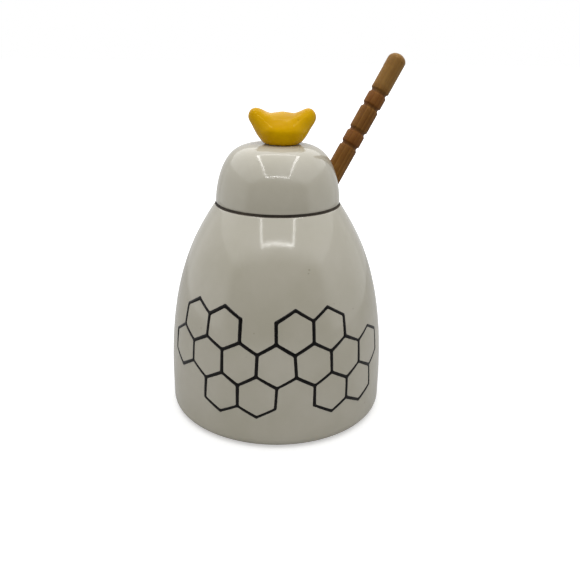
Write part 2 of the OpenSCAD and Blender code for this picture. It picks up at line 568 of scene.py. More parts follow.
@dataclass(frozen=True)
class GlazeFinish:
    """A glossy coloured glaze, with bare clay where it is wiped off."""

    name: str
    thin: Colour
    thick: Colour
    patch: float = 38.0
    roughness: float = 0.1
    wave: float = 1.0
    peel: float = 0.05
    relief: float = 0.5 * MM
    relief_share: float = 0.25
    speck: Colour = srgb(118, 104, 86)
    speck_scale: float = 210.0
    speck_size: float = 0.11
    speck_share: float = 0.3
    sheen: float = 0.5
    sheen_tint: Colour = WHITE
    wiped: tuple[WipedBand, ...] = ()
    bare_roughness: float = 0.85

    def material(self, effects: Effects) -> bpy.types.Material:
        """Build the material.

        Args:
            effects: The shared effects.

        Returns:
            The new material.
        """
        made, bench, shader = new_material(self.name)
        where = bench.add("TexCoord").outputs["Object"]
        tones = {"Low": self.thin, "High": self.thick}
        patches = bench.group(effects.mottle, {"Vector": where, "Scale": self.patch, **tones})
        dots = {"Vector": where, "Scale": self.speck_scale, "Size": self.speck_size}
        specks = bench.group(effects.specks, dots)
        faint = bench.sums("MULTIPLY", specks.outputs["Mask"], self.speck_share)
        colour = bench.blend(faint, patches.outputs["Color"], self.speck)
        skin = bench.group(
            effects.glaze_skin,
            {"Vector": where, "Wave": self.wave, "Peel": self.peel, "Gloss": self.roughness},
        )
        roughness = skin.outputs["Roughness"]
        for band in self.wiped:
            bare = band.mask(bench, where)
            tones = {"Low": band.clay, "High": band.grit}
            grit = bench.group(effects.mottle, {"Vector": where, "Scale": band.patch, **tones})
            colour = bench.blend(bare, colour, grit.outputs["Color"])
            dull = bench.sums("MULTIPLY", bare, self.bare_roughness)
            roughness = bench.sums("MAXIMUM", roughness, dull)
        normal = bench.bump(skin.outputs["Height"], self.relief_share, self.relief)
        bench.feed(shader, {"Base Color": colour, "Roughness": roughness, "Normal": normal})
        bench.feed(shader, {"Specular IOR Level": self.sheen, "Specular Tint": self.sheen_tint})
        return made


@dataclass(frozen=True)
class LineFinish:
    """Black underglaze drawn with a fine brush, glossy like the glaze over it."""

    name: str = "black_line"
    full: Colour = srgb(8, 8, 7)
    dry: Colour = srgb(22, 19, 17)
    patch: float = 420.0
    roughness: float = 0.25
    wave: float = 0.4
    peel: float = 0.2
    relief: float = 0.2 * MM
    relief_share: float = 0.2
    sheen: float = 0.15

    def material(self, effects: Effects) -> bpy.types.Material:
        """Build the material.

        Args:
            effects: The shared effects.

        Returns:
            The new material.
        """
        made, bench, shader = new_material(self.name)
        where = bench.add("TexCoord").outputs["Object"]
        tones = {"Low": self.full, "High": self.dry}
        strokes = bench.group(effects.mottle, {"Vector": where, "Scale": self.patch, **tones})
        gloss = {"Wave": self.wave, "Peel": self.peel, "Gloss": self.roughness}
        skin = bench.group(effects.glaze_skin, {"Vector": where, **gloss})
        looks = {"Base Color": strokes.outputs["Color"], "Roughness": skin.outputs["Roughness"]}
        normal = bench.bump(skin.outputs["Height"], self.relief_share, self.relief)
        bench.feed(shader, {**looks, "Normal": normal, "Specular IOR Level": self.sheen})
        return made


@dataclass(frozen=True)
class StickPlace:
    """Where a stick stands in its material, and the heights along it that the finish follows."""

    lean: float
    turn: float
    through: Vector
    pale_from: float
    bands: tuple[float, ...]
    band_half: float
    grooved: tuple[float, float]
    radius: float

    def stood_up(self, bench: Bench) -> bpy.types.NodeSocket:
        """Turn the place so that the stick stands upright on the origin.

        Args:
            bench: The material's bench.

        Returns:
            The socket that has the turned place.
        """
        back = (Matrix.Rotation(self.turn, 3, "Z") @ Matrix.Rotation(self.lean, 3, "Y")).transposed()
        where = bench.add("TexCoord").outputs["Object"]
        inputs = {"Vector": where, "Location": -(back @ self.through), "Rotation": back.to_euler("XYZ")}
        return bench.add("Mapping", inputs).outputs[0]


@dataclass(frozen=True)
class WoodFinish:
    """Turned, oiled hardwood with its grain along the stick."""

    name: str = "oiled_hardwood"
    early: Colour = srgb(136, 96, 40)
    late: Colour = srgb(112, 72, 24)
    pale: Colour = srgb(156, 122, 64)
    burnt: Colour = srgb(122, 68, 22)
    grime_and_shade: Colour = srgb(62, 38, 14)
    worn: Colour = (0.8, 0.72, 0.62, 1.0)
    rings: float = 120.0
    patch: float = 75.0
    pale_before: float = 3 * MM
    pale_after: float = 4 * MM
    pale_share: float = 0.55
    burnt_share: float = 0.4
    grime_and_shade_share: float = 0.45
    clean_unshaded_depth: float = 0.15 * MM
    grime_and_shade_depth: float = 0.9 * MM
    roughness: float = 0.45
    pore_roughness: float = 0.65
    relief: float = 0.25 * MM
    relief_share: float = 0.35
    sheen: float = 0.1

    def material(self, effects: Effects, place: StickPlace) -> bpy.types.Material:
        """Build the material.

        Args:
            effects: The shared effects.
            place: Where the stick stands.

        Returns:
            The new material.
        """
        made, bench, shader = new_material(self.name)
        stood = place.stood_up(bench)
        tones = {"Late": self.late, "Early": self.early}
        grain = bench.group(effects.wood_grain, {"Vector": stood, "Rings": self.rings, **tones})
        height = bench.add("SeparateXYZ", {0: stood}).outputs[2]
        tones = {"Low": WHITE, "High": self.worn}
        patches = bench.group(effects.mottle, {"Vector": stood, "Scale": self.patch, **tones})
        low, high = place.pale_from - self.pale_before, place.pale_from + self.pale_after
        pale = bench.spread(height, low, high, to_high=self.pale_share)
        colour = bench.blend(pale, grain.outputs["Color"], self.pale)
        for middle in place.bands:
            compared = {0: height, 1: middle, 2: place.band_half}
            inside = bench.add("Math", compared, operation="COMPARE").outputs[0]
            browned = bench.sums("MULTIPLY", inside, self.burnt_share)
            colour = bench.blend(browned, colour, self.burnt)
        deep = self._recess(bench, stood, height, place)
        # Darker colour at the groove bottoms: partly real dirt, partly painted shade.
        colour = bench.blend(bench.sums("MULTIPLY", deep, self.grime_and_shade_share), colour, self.grime_and_shade)
        layers = {0: 1.0, 6: colour, 7: patches.outputs["Color"]}
        tinted = bench.add("Mix", layers, data_type="RGBA", blend_type="MULTIPLY").outputs[2]
        streak = grain.outputs["Streak"]
        gloss = bench.spread(streak, 0.0, 1.0, self.roughness, self.pore_roughness)
        normal = bench.bump(grain.outputs["Height"], self.relief_share, self.relief)
        looks = {"Base Color": tinted, "Roughness": gloss, "Normal": normal}
        bench.feed(shader, {**looks, "Specular IOR Level": self.sheen})
        return made

    def _recess(
        self, bench: Bench, stood: bpy.types.NodeSocket, height: bpy.types.NodeSocket, place: StickPlace
    ) -> bpy.types.NodeSocket:
        """Where oil and dust lie in the grooves of the handle, which are darkened also as painted shade at
        the bottom of each groove.

        Args:
            bench: The material's bench.
            stood: The socket that has the place on the upright stick.
            height: The socket that has the height along it.
            place: Where the stick stands.

        Returns:
            The socket with 1 at the bottom of a groove.
        """
        flat = bench.add("VectorMath", {0: stood, 1: (1, 1, 0)}, operation="MULTIPLY").outputs[0]
        reach = bench.add("VectorMath", {0: flat}, operation="LENGTH").outputs["Value"]
        bottom, edge = place.radius - self.grime_and_shade_depth, place.radius - self.clean_unshaded_depth
        deep = bench.spread(reach, bottom, edge, to_low=1.0, to_high=0.0)
        low, high = place.grooved
        compared = {0: height, 1: (low + high) / 2, 2: (high - low) / 2}
        among = bench.add("Math", compared, operation="COMPARE").outputs[0]
        return bench.sums("MULTIPLY", deep, among)


# -------------------------------------------------------------- the object

# Bare clay of the joint between lid and rim, darkened almost to black: partly bare clay, mostly painted
# shade of the joint's recess.
SHADED_JOINT_CLAY = {
    "clay": srgb(94, 84, 71),
    "grit": srgb(30, 25, 20),
    "patch": 40.0,
    "wander": 0.02 * MM,
}
WHITE_GLAZE = {"thin": srgb(184, 179, 162), "thick": srgb(191, 186, 171)}


@dataclass
class PotShell:
    """The bell-shaped pot: wall, floor, standing ring and rim."""

    body_r: float = 56 * MM
    rim_h: float = 108 * MM
    rim_r: float = 32.2 * MM
    rim_w: float = 3.5 * MM
    belly_h: float = 14.5 * MM
    shoulder_pull: float = 54 * MM
    shoulder_lean: float = 34.0
    neck_pull: float = 19.5 * MM
    wall: float = 4.5 * MM
    lip_round: float = 1.3 * MM
    foot_round: float = 5 * MM
    foot_ring_w: float = 6 * MM
    foot_recess: float = 1.8 * MM
    foot_edge: float = 0.6 * MM
    floor_t: float = 5 * MM
    floor_round: float = 8 * MM
    ease: float = 0.15 * MM
    unevenness: float = 0.12 * MM
    uneven_grain: float = 34 * MM
    ring_wiped: float = 0.9 * MM
    rim_wiped: float = 0.22 * MM
    beyond: float = 1 * MM
    bell_steps: int = 60
    longest: float = 2.2 * MM
    steps: int = 160

    @property
    def mouth_r(self) -> float:
        """Inner radius of the mouth."""
        return self.rim_r - self.rim_w

    @property
    def floor_z(self) -> float:
        """Height of the floor inside."""
        return self.foot_recess + self.floor_t

    @property
    def finish(self) -> GlazeFinish:
        """White glaze, wiped off the standing ring and off the top of the rim, whose bare clay is darkened
        almost to black as painted shade of the joint under the lid.
        """
        ring = WipedBand(-self.beyond, self.ring_wiped)
        # Top of the rim: bare clay darkened as painted shade of the joint.
        rim = WipedBand(self.rim_h - self.rim_wiped, self.rim_h + self.beyond, **SHADED_JOINT_CLAY)
        return GlazeFinish("warm_white_glaze", **WHITE_GLAZE, wiped=(ring, rim))

    def bell(self, belly: Point, lip: Point, lip_angle: float) -> Outline:
        """The bell's curve from the belly up to a rounded lip.

        Args:
            belly: Point where the curve starts straight up.
            lip: Middle of the lip's rounding.
            lip_angle: Angle on that rounding, in degrees, where the curve ends.

        Returns:
            The points from the belly to the lip.
        """
        lean = math.radians(self.shoulder_lean)
        neck = on_circle(lip, self.lip_round, math.radians(lip_angle))
        pull = on_circle(neck, self.neck_pull, lean - math.pi / 2)
        shoulder = (belly[0], self.belly_h + self.shoulder_pull)
        return bezier(belly, shoulder, pull, neck, self.bell_steps)

    def outer_bell(self) -> Outline:
        """The bell's outer curve, drawn in by the ease."""
        belly = (self.body_r - self.ease, self.belly_h)
        lip = (self.rim_r - self.ease - self.lip_round, self.rim_h - self.lip_round)
        return self.bell(belly, lip, self.shoulder_lean)

    def outline(self) -> Outline:
        """Half the pot's outline, from the axis below to the axis inside."""
        top = self.rim_h - self.lip_round
        ring_out = self.body_r - self.ease - self.foot_round
        ring_in = self.body_r - self.foot_round - self.foot_ring_w
        inner_r = self.body_r - self.wall
        outer_lip = (self.rim_r - self.ease - self.lip_round, top)
        inner_lip = (self.mouth_r + self.lip_round, top)
        inner_start = (inner_r, self.floor_z + self.floor_round)
        inner_turn = 180 + self.shoulder_lean
        return refined(
            [(0, self.foot_recess), (ring_in - self.foot_recess, self.foot_recess)]
            + arc((ring_in + self.foot_edge, self.foot_edge), self.foot_edge, 200, 270, steps=4)
            + arc((ring_out, self.foot_round), self.foot_round, -90, 0, steps=12)
            + self.outer_bell()
            + arc(outer_lip, self.lip_round, self.shoulder_lean, 90)
            + arc(inner_lip, self.lip_round, 90, inner_turn)
            + self.bell(inner_start, inner_lip, inner_turn)[::-1]
            + arc((inner_r - self.floor_round, inner_start[1]), self.floor_round, 0, -90, steps=12)
            + [(0, self.floor_z)],
            self.longest,
        )

    def on_wall(self, around: float, height: float, depth: float) -> Vector:
        """A point in or under the outer face of the wall.

        Args:
            around: Angle from the front towards the right, in radians.
            height: Its height.
            depth: How deep it lies in the wall.

        Returns:
            The point.
        """
        curve = self.outer_bell()
        radius = curve[0][0]
        for (low_r, low_z), (high_r, high_z) in zip(curve, curve[1:]):
            if low_z <= height <= high_z:
                radius = low_r + (high_r - low_r) * (height - low_z) / (high_z - low_z)
        radius -= depth
        return Vector((radius * math.sin(around), -radius * math.cos(around), height))

    def build(self, effects: Effects) -> bpy.types.Object:
        """Model and dress the pot.

        Args:
            effects: The shared effects.

        Returns:
            The finished piece.
        """
        piece = lathe("pot_shell", self.outline(), self.steps)
        loosen(piece, self.unevenness, self.uneven_grain, "pot_noise")
        smooth(piece)
        piece.data.materials.append(self.finish.material(effects))
        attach(piece, "pot")
        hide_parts("pot_body")
        log.info("pot_shell: %d faces", len(piece.data.polygons))
        return piece


@dataclass
class HoneycombMotif:
    """Open honeycomb cells drawn in thin black line across the front of the pot."""

    cell: float = 10.5 * MM
    brush_r: float = 1.5 * MM
    sink: float = 1.24 * MM
    middle_z: float = 43 * MM
    wander: float = 0.45 * MM
    wrap_r: float = 55 * MM
    bend_steps: int = 3
    press: Span = (0.94, 1.04)
    sides: int = 14
    ball_rings: int = 8
    grain: float = 0.32 * MM
    softened: int = 7
    crisp: float = 60.0
    rows: tuple[tuple[int, tuple[int, ...]], ...] = (
        (1, (-3, -2, 0, 1)),
        (0, (-3, -2, -1, 0, 1, 2, 3)),
        (-1, (-2, -1, 1, 2)),
    )
    seed: int = 7
    finish: LineFinish = LineFinish()

    def walls(self) -> list[tuple[Point, Point]]:
        """Each cell wall once, on the flat sheet, its ends moved a little as a hand does."""
        drawn = random.Random(self.seed)
        corners: dict[tuple[int, int], Point] = {}
        walls: set[tuple[tuple[int, int], tuple[int, int]]] = set()
        half_w = self.cell * math.sqrt(3) / 2
        around = ((1, 1), (0, 2), (-1, 1), (-1, -1), (0, -2), (1, -1))
        for row, columns in self.rows:
            for column in columns:
                middle = (2 * column + row % 2, 3 * row)
                ring = [(middle[0] + i, middle[1] + j) for i, j in around]
                for i, j in ring:
                    if (i, j) not in corners:
                        x, z = i * half_w, self.middle_z + j * self.cell / 2
                        corners[i, j] = tuple(v + drawn.uniform(-1, 1) * self.wander for v in (x, z))
                walls.update(tuple(sorted(pair)) for pair in zip(ring, ring[1:] + ring[:1]))
        return [(corners[a], corners[b]) for a, b in sorted(walls)]

    def build(self, pot: PotShell, effects: Effects) -> bpy.types.Object:
        """Draw each stroke with a round brush sunk into the wall, and melt them into one.

        Args:
            pot: The pot that carries them.
            effects: The shared effects.

        Returns:
            The finished piece.
        """
        drawn = random.Random(self.seed + 1)
        strokes = []
        for (x0, z0), (x1, z1) in self.walls():
            r0, r1 = (drawn.uniform(*self.press) * self.brush_r for _ in (0, 1))
            track = []
            for i in range(self.bend_steps + 1):
                t = i / self.bend_steps
                x, z = x0 + (x1 - x0) * t, z0 + (z1 - z0) * t
                track.append((pot.on_wall(x / self.wrap_r, z, self.sink), r0 + (r1 - r0) * t))
            strokes += self._stroke(track)
        piece = join(strokes, "front_motif")
        melt(piece, self.grain, self.softened)
        smooth(piece, self.crisp)
        piece.data.materials.append(self.finish.material(effects))
        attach(piece, "pot")
        log.info("front_motif: %d faces", len(piece.data.polygons))
        return piece

    def _stroke(self, track: Sequence[tuple[Vector, float]]) -> list[bpy.types.Object]:
        """Lay round lengths along a track, with a ball at each of its ends.

        Args:
            track: Place and brush radius of each point.

        Returns:
            The lengths and balls.
        """
        laid = []
        for (start, start_r), (end, end_r) in zip(track, track[1:]):
            start_fresh()
            bpy.ops.mesh.primitive_cone_add(
                vertices=self.sides,
                radius1=start_r,
                radius2=end_r,
                depth=(end - start).length,
                location=(start + end) / 2,
                rotation=(end - start).to_track_quat("Z", "Y").to_euler(),
            )
            laid.append(bpy.context.object)
        for place, radius in (track[0], track[-1]):
            start_fresh()
            bpy.ops.mesh.primitive_uv_sphere_add(
                segments=self.sides, ring_count=self.ball_rings, radius=radius, location=place
            )
            laid.append(bpy.context.object)
        return laid


@dataclass
class DomeLid:
    """The hollow domed lid with its locating flange and the slot for the dipper's handle."""

    rim_h: float
    radius: float = 31.1 * MM
    height: float = 29 * MM
    side: float = 4.6
    crown: float = 1.6
    wall: float = 4.5 * MM
    edge_round: float = 0.6 * MM
    joint_h: float = 0.9 * MM
    joint_depth: float = 0.7 * MM
    seat_t: float = 0.15 * MM
    flange_r: float = 27.7 * MM
    flange_t: float = 3.4 * MM
    flange_drop: float = 5 * MM
    flange_round: float = 1 * MM
    slot_r: float = 5.8 * MM
    ease: float = 0.1 * MM
    unevenness: float = 0.1 * MM
    uneven_grain: float = 22 * MM
    wipe_wander: float = 0.02 * MM
    wiped_below: float = 0.05 * MM
    wiped_above: float = 0.14 * MM
    slot_edge: float = 0.5 * MM
    slot_edge_steps: int = 3
    slot_crisp: float = 38.0
    slot_steps: int = 64
    dome_steps: int = 60
    longest: float = 1.6 * MM
    steps: int = 144

    @property
    def top(self) -> float:
        """Height of the crown, where the knob sits."""
        return self.rim_h + self.height

    @property
    def finish(self) -> GlazeFinish:
        """White glaze, wiped off the flange and off the seat, whose bare clay is darkened almost to black as
        painted shade of the joint on the rim.
        """
        seat_z = self.rim_h - self.wiped_below
        flange = WipedBand(self.rim_h - 2 * self.flange_drop, seat_z, wander=self.wipe_wander)
        # Seat of the lid: bare clay darkened as painted shade of the joint.
        seat = WipedBand(seat_z, self.rim_h + self.joint_h + self.wiped_above, **SHADED_JOINT_CLAY)
        return GlazeFinish("warm_white_glaze_lid", **WHITE_GLAZE, wiped=(flange, seat))

    def dome(self, radius: float, edge: float, height: float, crown_z: float) -> Outline:
        """A dome's curve from its edge to its crown.

        Args:
            radius: Radius of the edge.
            edge: Height of the edge.
            height: Height of the dome over its edge.
            crown_z: Height at which the crown is cut flat.

        Returns:
            The points from the edge to the crown.
        """
        points = []
        for i in range(self.dome_steps + 1):
            share = math.cos(math.pi / 2 * i / self.dome_steps)
            rise = height * (1 - share**self.side) ** (1 / self.crown)
            points.append((radius * share, min(crown_z, edge + rise)))
        return points

    def outline(self) -> Outline:
        """Half the lid's outline, from the crown down outside and up to the axis inside."""
        outer_r = self.radius - self.ease
        dome_z = self.rim_h + self.joint_h + self.edge_round
        seat_r = self.radius - self.joint_depth
        hollow_r = self.radius - self.wall
        hollow_z = self.rim_h + self.flange_drop
        hollow_top = self.top - self.wall
        flange_in = self.flange_r - self.flange_t
        soft_z = self.rim_h - self.flange_drop + self.flange_round
        outside = self.dome(outer_r, dome_z, self.top + self.seat_t - dome_z, self.top)[::-1]
        outside += arc((outer_r - self.edge_round, dome_z), self.edge_round, 0, -90)
        seat = [(seat_r, self.rim_h + self.joint_h), (seat_r, self.rim_h)]
        seat += [(self.flange_r, self.rim_h)]
        flange = arc((self.flange_r - self.flange_round, soft_z), self.flange_round, 0, -90)
        flange += arc((flange_in + self.flange_round, soft_z), self.flange_round, -90, -180)
        flange += [(flange_in, hollow_z - (hollow_r - flange_in))]
        inside = self.dome(hollow_r, hollow_z, hollow_top - hollow_z, hollow_top)
        return refined(outside + seat + flange + inside, self.longest)

    def build(self, dipper: "TurnedDipper", effects: Effects) -> bpy.types.Object:
        """Model and dress the lid.

        Args:
            dipper: The dipper whose handle the slot lets through.
            effects: The shared effects.

        Returns:
            The finished piece.
        """
        piece = lathe("dome_lid", self.outline(), self.steps)
        loosen(piece, self.unevenness, self.uneven_grain, "lid_noise")
        self._cut_slot(piece, dipper)
        smooth(piece)
        piece.data.materials.append(self.finish.material(effects))
        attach(piece, "lid")
        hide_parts("lid")
        log.info("dome_lid: %d faces", len(piece.data.polygons))
        return piece

    def _cut_slot(self, piece: bpy.types.Object, dipper: "TurnedDipper") -> None:
        """Cut the slot with a bar stretched outwards along the handle's line, and soften its edge.

        Args:
            piece: The lid.
            dipper: The dipper whose handle the slot lets through.
        """
        reach = 2 * self.height
        middle = (0, 0, reach / 4)
        start_fresh()
        bpy.ops.mesh.primitive_cylinder_add(
            vertices=self.slot_steps, radius=self.slot_r, depth=reach, location=middle
        )
        cutter = named("slot_cutter")
        settle(cutter)
        with editing(cutter, lambda place: place.x > 0.01 * MM):
            bpy.ops.transform.translate(value=(reach, 0, 0))
        dipper.lay_on_axis(cutter)
        shape_with(piece, "BOOLEAN", object=cutter, operation="DIFFERENCE", solver="EXACT")
        bpy.data.objects.remove(cutter)
        soften_edges(piece, self.slot_edge, self.slot_edge_steps, self.slot_crisp)


@dataclass
class WingedKnob:
    """The yellow knob: a squat round body with two raised wings and a low crown between them."""

    lid_top: float
    height: float = 16.8 * MM
    span: float = 33.2 * MM
    shift: float = 1.8 * MM
    tip_r: float = 4.4 * MM
    root_t: float = 17 * MM
    foot_r: float = 8.6 * MM
    foot_round: float = 1.4 * MM
    body_r: float = 12.5 * MM
    lip_h: float = 6.4 * MM
    belly_half: float = 5 * MM
    crown_w: float = 13 * MM
    crown_drop: float = 1.6 * MM
    dip_drop: float = 2.8 * MM
    wing_back: float = 2 * MM
    overlap: float = 0.3 * MM
    unevenness: float = 0.4 * MM
    uneven_grain: float = 6 * MM
    grain: float = 0.38 * MM
    softened: int = 110
    crisp: float = 50.0
    foot_steps: int = 48
    egg_steps: int = 40
    finish: GlazeFinish = GlazeFinish(
        "honey_yellow_glaze",
        thin=srgb(204, 154, 2),
        thick=srgb(216, 168, 4),
        patch=90.0,
        roughness=0.1,
        wave=2.0,
        speck=srgb(150, 96, 10),
        sheen=0.1,
        sheen_tint=(1.0, 0.72, 0.04, 1.0),
    )

    def build(self, effects: Effects) -> bpy.types.Object:
        """Press body and wings from round lumps, melt them into one form and dress it.

        Args:
            effects: The shared effects.

        Returns:
            The finished piece.
        """
        crown_half = (self.height - self.crown_drop) / 2
        base_r = self.foot_r + self.foot_round
        start_fresh()
        middle = (0, 0, self.foot_round / 2)
        bpy.ops.mesh.primitive_cylinder_add(
            vertices=self.foot_steps, radius=self.foot_r, depth=self.foot_round, location=middle
        )
        crown = (self.crown_w / 2, self.crown_w / 2, crown_half)
        lumps = [
            bpy.context.object,
            self._egg((0, 0, self.foot_round), (base_r, base_r, self.foot_round)),
            self._egg((0, 0, self.lip_h), (self.body_r, self.body_r, self.belly_half)),
            self._egg((0, self.wing_back, crown_half), crown),
            self._wing_root(1),
            self._wing_root(-1),
        ]
        parts = [hull(lumps, "knob_body")]
        for side in (1, -1):
            tip = (side * (self.span / 2 - self.tip_r), self.wing_back, self.height - self.tip_r)
            parts.append(hull([self._wing_root(side), self._egg(tip, (self.tip_r,) * 3)], "knob_wing"))
        piece = join(parts, "winged_knob")
        melt(piece, self.grain, self.softened)
        self._fit(piece)
        loosen(piece, self.unevenness, self.uneven_grain, "knob_noise")
        smooth(piece, self.crisp)
        piece.data.materials.append(self.finish.material(effects))
        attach(piece, "lid")
        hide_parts("lid_knob")
        log.info("winged_knob: %d faces", len(piece.data.polygons))
        return piece

    def _egg(self, middle: Sequence[float], radii: Sequence[float]) -> bpy.types.Object:
        """Make a ball stretched to the radii along its three axes."""
        start_fresh()
        steps = {"segments": self.egg_steps, "ring_count": self.egg_steps // 2}
        bpy.ops.mesh.primitive_uv_sphere_add(**steps, radius=1, location=middle, scale=radii)
        return bpy.context.object

    def _wing_root(self, side: int) -> bpy.types.Object:
        """Make the thick end of a wing, inside the body."""
        half_h = (self.height - self.dip_drop) / 2
        radii = (self.body_r / 2, self.root_t / 2, half_h)
        return self._egg((side * self.body_r / 2, 0, half_h), radii)

    def _fit(self, piece: bpy.types.Object) -> None:
        """Stretch the softened form back to its full size and cut its foot flat on the lid.

        Args:
            piece: The softened knob.
        """
        lows = [min(corner[k] for corner in piece.bound_box) for k in range(3)]
        highs = [max(corner[k] for corner in piece.bound_box) for k in range(3)]
        wide = self.span / (highs[0] - lows[0])
        tall = (self.height + self.overlap) / (highs[2] - lows[2])
        piece.scale = (wide, wide, tall)
        piece.location = (self.shift, 0, self.lid_top - self.overlap - lows[2] * tall)
        settle(piece)
        seat = {"plane_co": (0, 0, self.lid_top), "plane_no": (0, 0, 1)}
        with editing(piece):
            bpy.ops.mesh.bisect(**seat, use_fill=True, clear_inner=True)


@dataclass
class TurnedDipper:
    """The honey dipper, turned from one stick: grooved handle, shaft and grooved head."""

    pot: PotShell
    length: float = 198 * MM
    handle_r: float = 4.8 * MM
    handle_end: float = 3.8 * MM
    groove_start: float = 21.5 * MM
    groove_gap: float = 8.05 * MM
    pair_pitch: float = 21.6 * MM
    groove_w: float = 2.4 * MM
    groove_depth: float = 0.8 * MM
    head_r: float = 13.5 * MM
    head_len: float = 41 * MM
    discs: int = 8
    disc_share: float = 0.56
    core_r: float = 5.2 * MM
    nose_r: float = 9 * MM
    lean: float = math.radians(31)
    turn: float = math.radians(22)
    rest_gap: float = 0.3 * MM
    ease: float = 0.02 * MM
    edge: float = 0.3 * MM
    edge_steps: int = 2
    edge_crisp: float = 42.0
    crisp: float = 45.0
    head_from: float = 30.0
    head_to: float = 150.0
    end_steps: int = 12
    longest: float = 3 * MM
    steps: int = 64
    finish: WoodFinish = WoodFinish()

    @property
    def rest_z(self) -> float:
        """Height of the point of the axis where the handle lies on the lip."""
        return self.pot.rim_h - self.pot.lip_round

    @property
    def nose_drop(self) -> float:
        """Distance along the axis from that point down to the nose."""
        drop = self.rest_z - self.pot.floor_z - self.rest_gap - self.nose_r
        return drop / math.cos(self.lean) + self.nose_r

    @property
    def axis_point(self) -> Vector:
        """The point of the axis where the handle lies on the lip."""
        lip_round = self.pot.lip_round
        reach = (self.handle_r + lip_round + self.rest_gap) / math.cos(self.lean)
        rest_r = self.pot.mouth_r + lip_round - reach
        return Vector((rest_r * math.cos(self.turn), rest_r * math.sin(self.turn), self.rest_z))

    @property
    def grooves(self) -> list[float]:
        """Distance of each groove of the handle from the nose, lowest first."""
        first = self.length - self.groove_start
        steps = [pair * self.pair_pitch + edge * self.groove_gap for pair in (1, 0) for edge in (1, 0)]
        return [first - step for step in steps]

    @property
    def place(self) -> StickPlace:
        """Where the stick stands and which heights its finish follows."""
        heights = [groove - self.nose_drop for groove in self.grooves]
        middles = (sum(heights[:2]) / 2, sum(heights[2:]) / 2)
        spare = (heights[0] - self.groove_w, heights[-1] + self.groove_w)
        return StickPlace(
            lean=self.lean,
            turn=self.turn,
            through=self.axis_point,
            pale_from=heights[-1],
            bands=middles,
            band_half=self.groove_gap / 2,
            grooved=spare,
            radius=self.handle_r,
        )

    def lay_on_axis(self, piece: bpy.types.Object) -> None:
        """Lean a piece drawn upright at the origin onto the dipper's axis."""
        piece.location = self.axis_point
        piece.rotation_euler = (0, self.lean, self.turn)
        settle(piece)

    def envelope(self, height: float) -> float:
        """Radius of the egg-shaped head at a height above the nose."""
        share = (height - self.nose_r) / (self.head_len - self.nose_r)
        angle = math.radians(self.head_from + (self.head_to - self.head_from) * share)
        return self.nose_r + (self.head_r - self.nose_r) * math.sin(angle)

    def outline(self) -> Outline:
        """Half the dipper's outline, from its nose to the end of its handle."""
        pitch = (self.head_len - self.nose_r) / (self.discs - 1)
        thick = pitch * self.disc_share
        points = arc((0, self.nose_r), self.nose_r, -90, -15, steps=12)
        for i in range(1, self.discs):
            s = self.nose_r + pitch * (i - 0.5)
            points.append((self.core_r, s - thick / 2))
            points += arc((self.envelope(s) - thick / 2, s), thick / 2, -90, 90)
            points.append((self.core_r, s + thick / 2))
        points.append((self.handle_r, self.head_len))
        round_r = ((self.groove_w / 2) ** 2 + self.groove_depth**2) / (2 * self.groove_depth)
        opens = math.degrees(math.asin(self.groove_w / 2 / round_r))
        round_x = self.handle_r - self.groove_depth + round_r
        for groove in self.grooves:
            points += arc((round_x, groove), round_r, opens - 180, -opens - 180, steps=10)
        for i in range(self.end_steps + 1):
            angle = math.pi / 2 * i / self.end_steps
            end = self.length - self.ease - self.handle_end * (1 - math.sin(angle))
            points.append((self.handle_r * math.cos(angle), end))
        return refined(points, self.longest)

    def build(self, effects: Effects) -> bpy.types.Object:
        """Turn the stick, ease its edges, lean it into the pot and dress it.

        Args:
            effects: The shared effects.

        Returns:
            The finished piece.
        """
        piece = lathe("turned_dipper", self.outline(), self.steps)
        soften_edges(piece, self.edge, self.edge_steps, self.edge_crisp)
        piece.location = (0, 0, -self.nose_drop)
        settle(piece)
        self.lay_on_axis(piece)
        smooth(piece, self.crisp)
        piece.data.materials.append(self.finish.material(effects, self.place))
        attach(piece, "dipper")
        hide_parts("honey_dipper")
        log.info("turned_dipper: %d faces", len(piece.data.polygons))
        return piece


# ------------------------------------------------------------------ the set


class Tone(Enum):
    """How bright each cloth of the tent looks in the glaze, where 1 is white."""

    CEILING = 2.0
    SIDE = 1.1
    BACK = 0.8
    FRONT = 0.12


class Strip(Enum):
    """How bright each light strip is, where 1 is white."""

    FRONT = 14.0
    SIDE = 6.0
    REAR = 3.0


